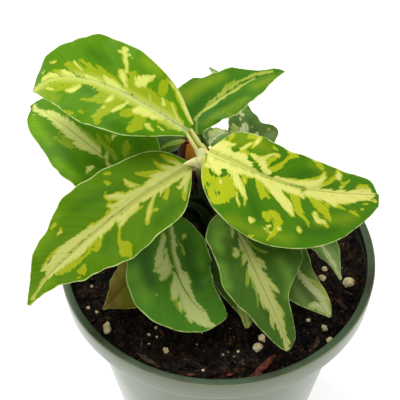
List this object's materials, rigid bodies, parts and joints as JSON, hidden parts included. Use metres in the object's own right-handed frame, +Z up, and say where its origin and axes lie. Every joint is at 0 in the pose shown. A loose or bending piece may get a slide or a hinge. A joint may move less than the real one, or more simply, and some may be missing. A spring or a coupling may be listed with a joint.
{
  "type": "potted houseplant",
  "caption": "Small variegated leafy houseplant in a tapered round nursery pot filled with potting soil.",
  "frame": {"origin": "centre of the pot's base, on the surface that it stands on", "axes": "+Z up along the pot's axis, the picture looks along +Y from the -Y side, +X to its right"},
  "size_m": [0.1209, 0.1182, 0.1577],
  "materials": {
    "pot_plastic": "moulded grey green plastic, satin",
    "potting_soil": "dark moist potting soil with perlite and bark, rough",
    "stem": "green brown ringed stem, satin",
    "sheath": "pale green rolled sheath, satin",
    "leaf": "smooth variegated leaf, green with lime and cream, satin",
    "ageing_leaf": "yellow brown ageing leaf, satin"
  },
  "bodies": {
    "root": {"pot": "pot_plastic", "soil": "potting_soil", "stem_main": "stem", "stem_back": "stem", "stem_side": "stem", "growing_tip": "sheath", "leaf_back_left": "leaf", "leaf_right": "leaf", "leaf_front_left": "leaf", "leaf_front": "leaf", "leaf_front_right": "leaf", "leaf_back_right": "leaf", "leaf_low_left": "leaf", "leaf_inner_left": "leaf", "leaf_low_back": "leaf", "leaf_inner_back": "leaf", "leaf_low_front": "leaf", "leaf_small_front": "leaf", "leaf_small_right": "leaf", "leaf_old": "ageing_leaf"}
  },
  "joints": []
}
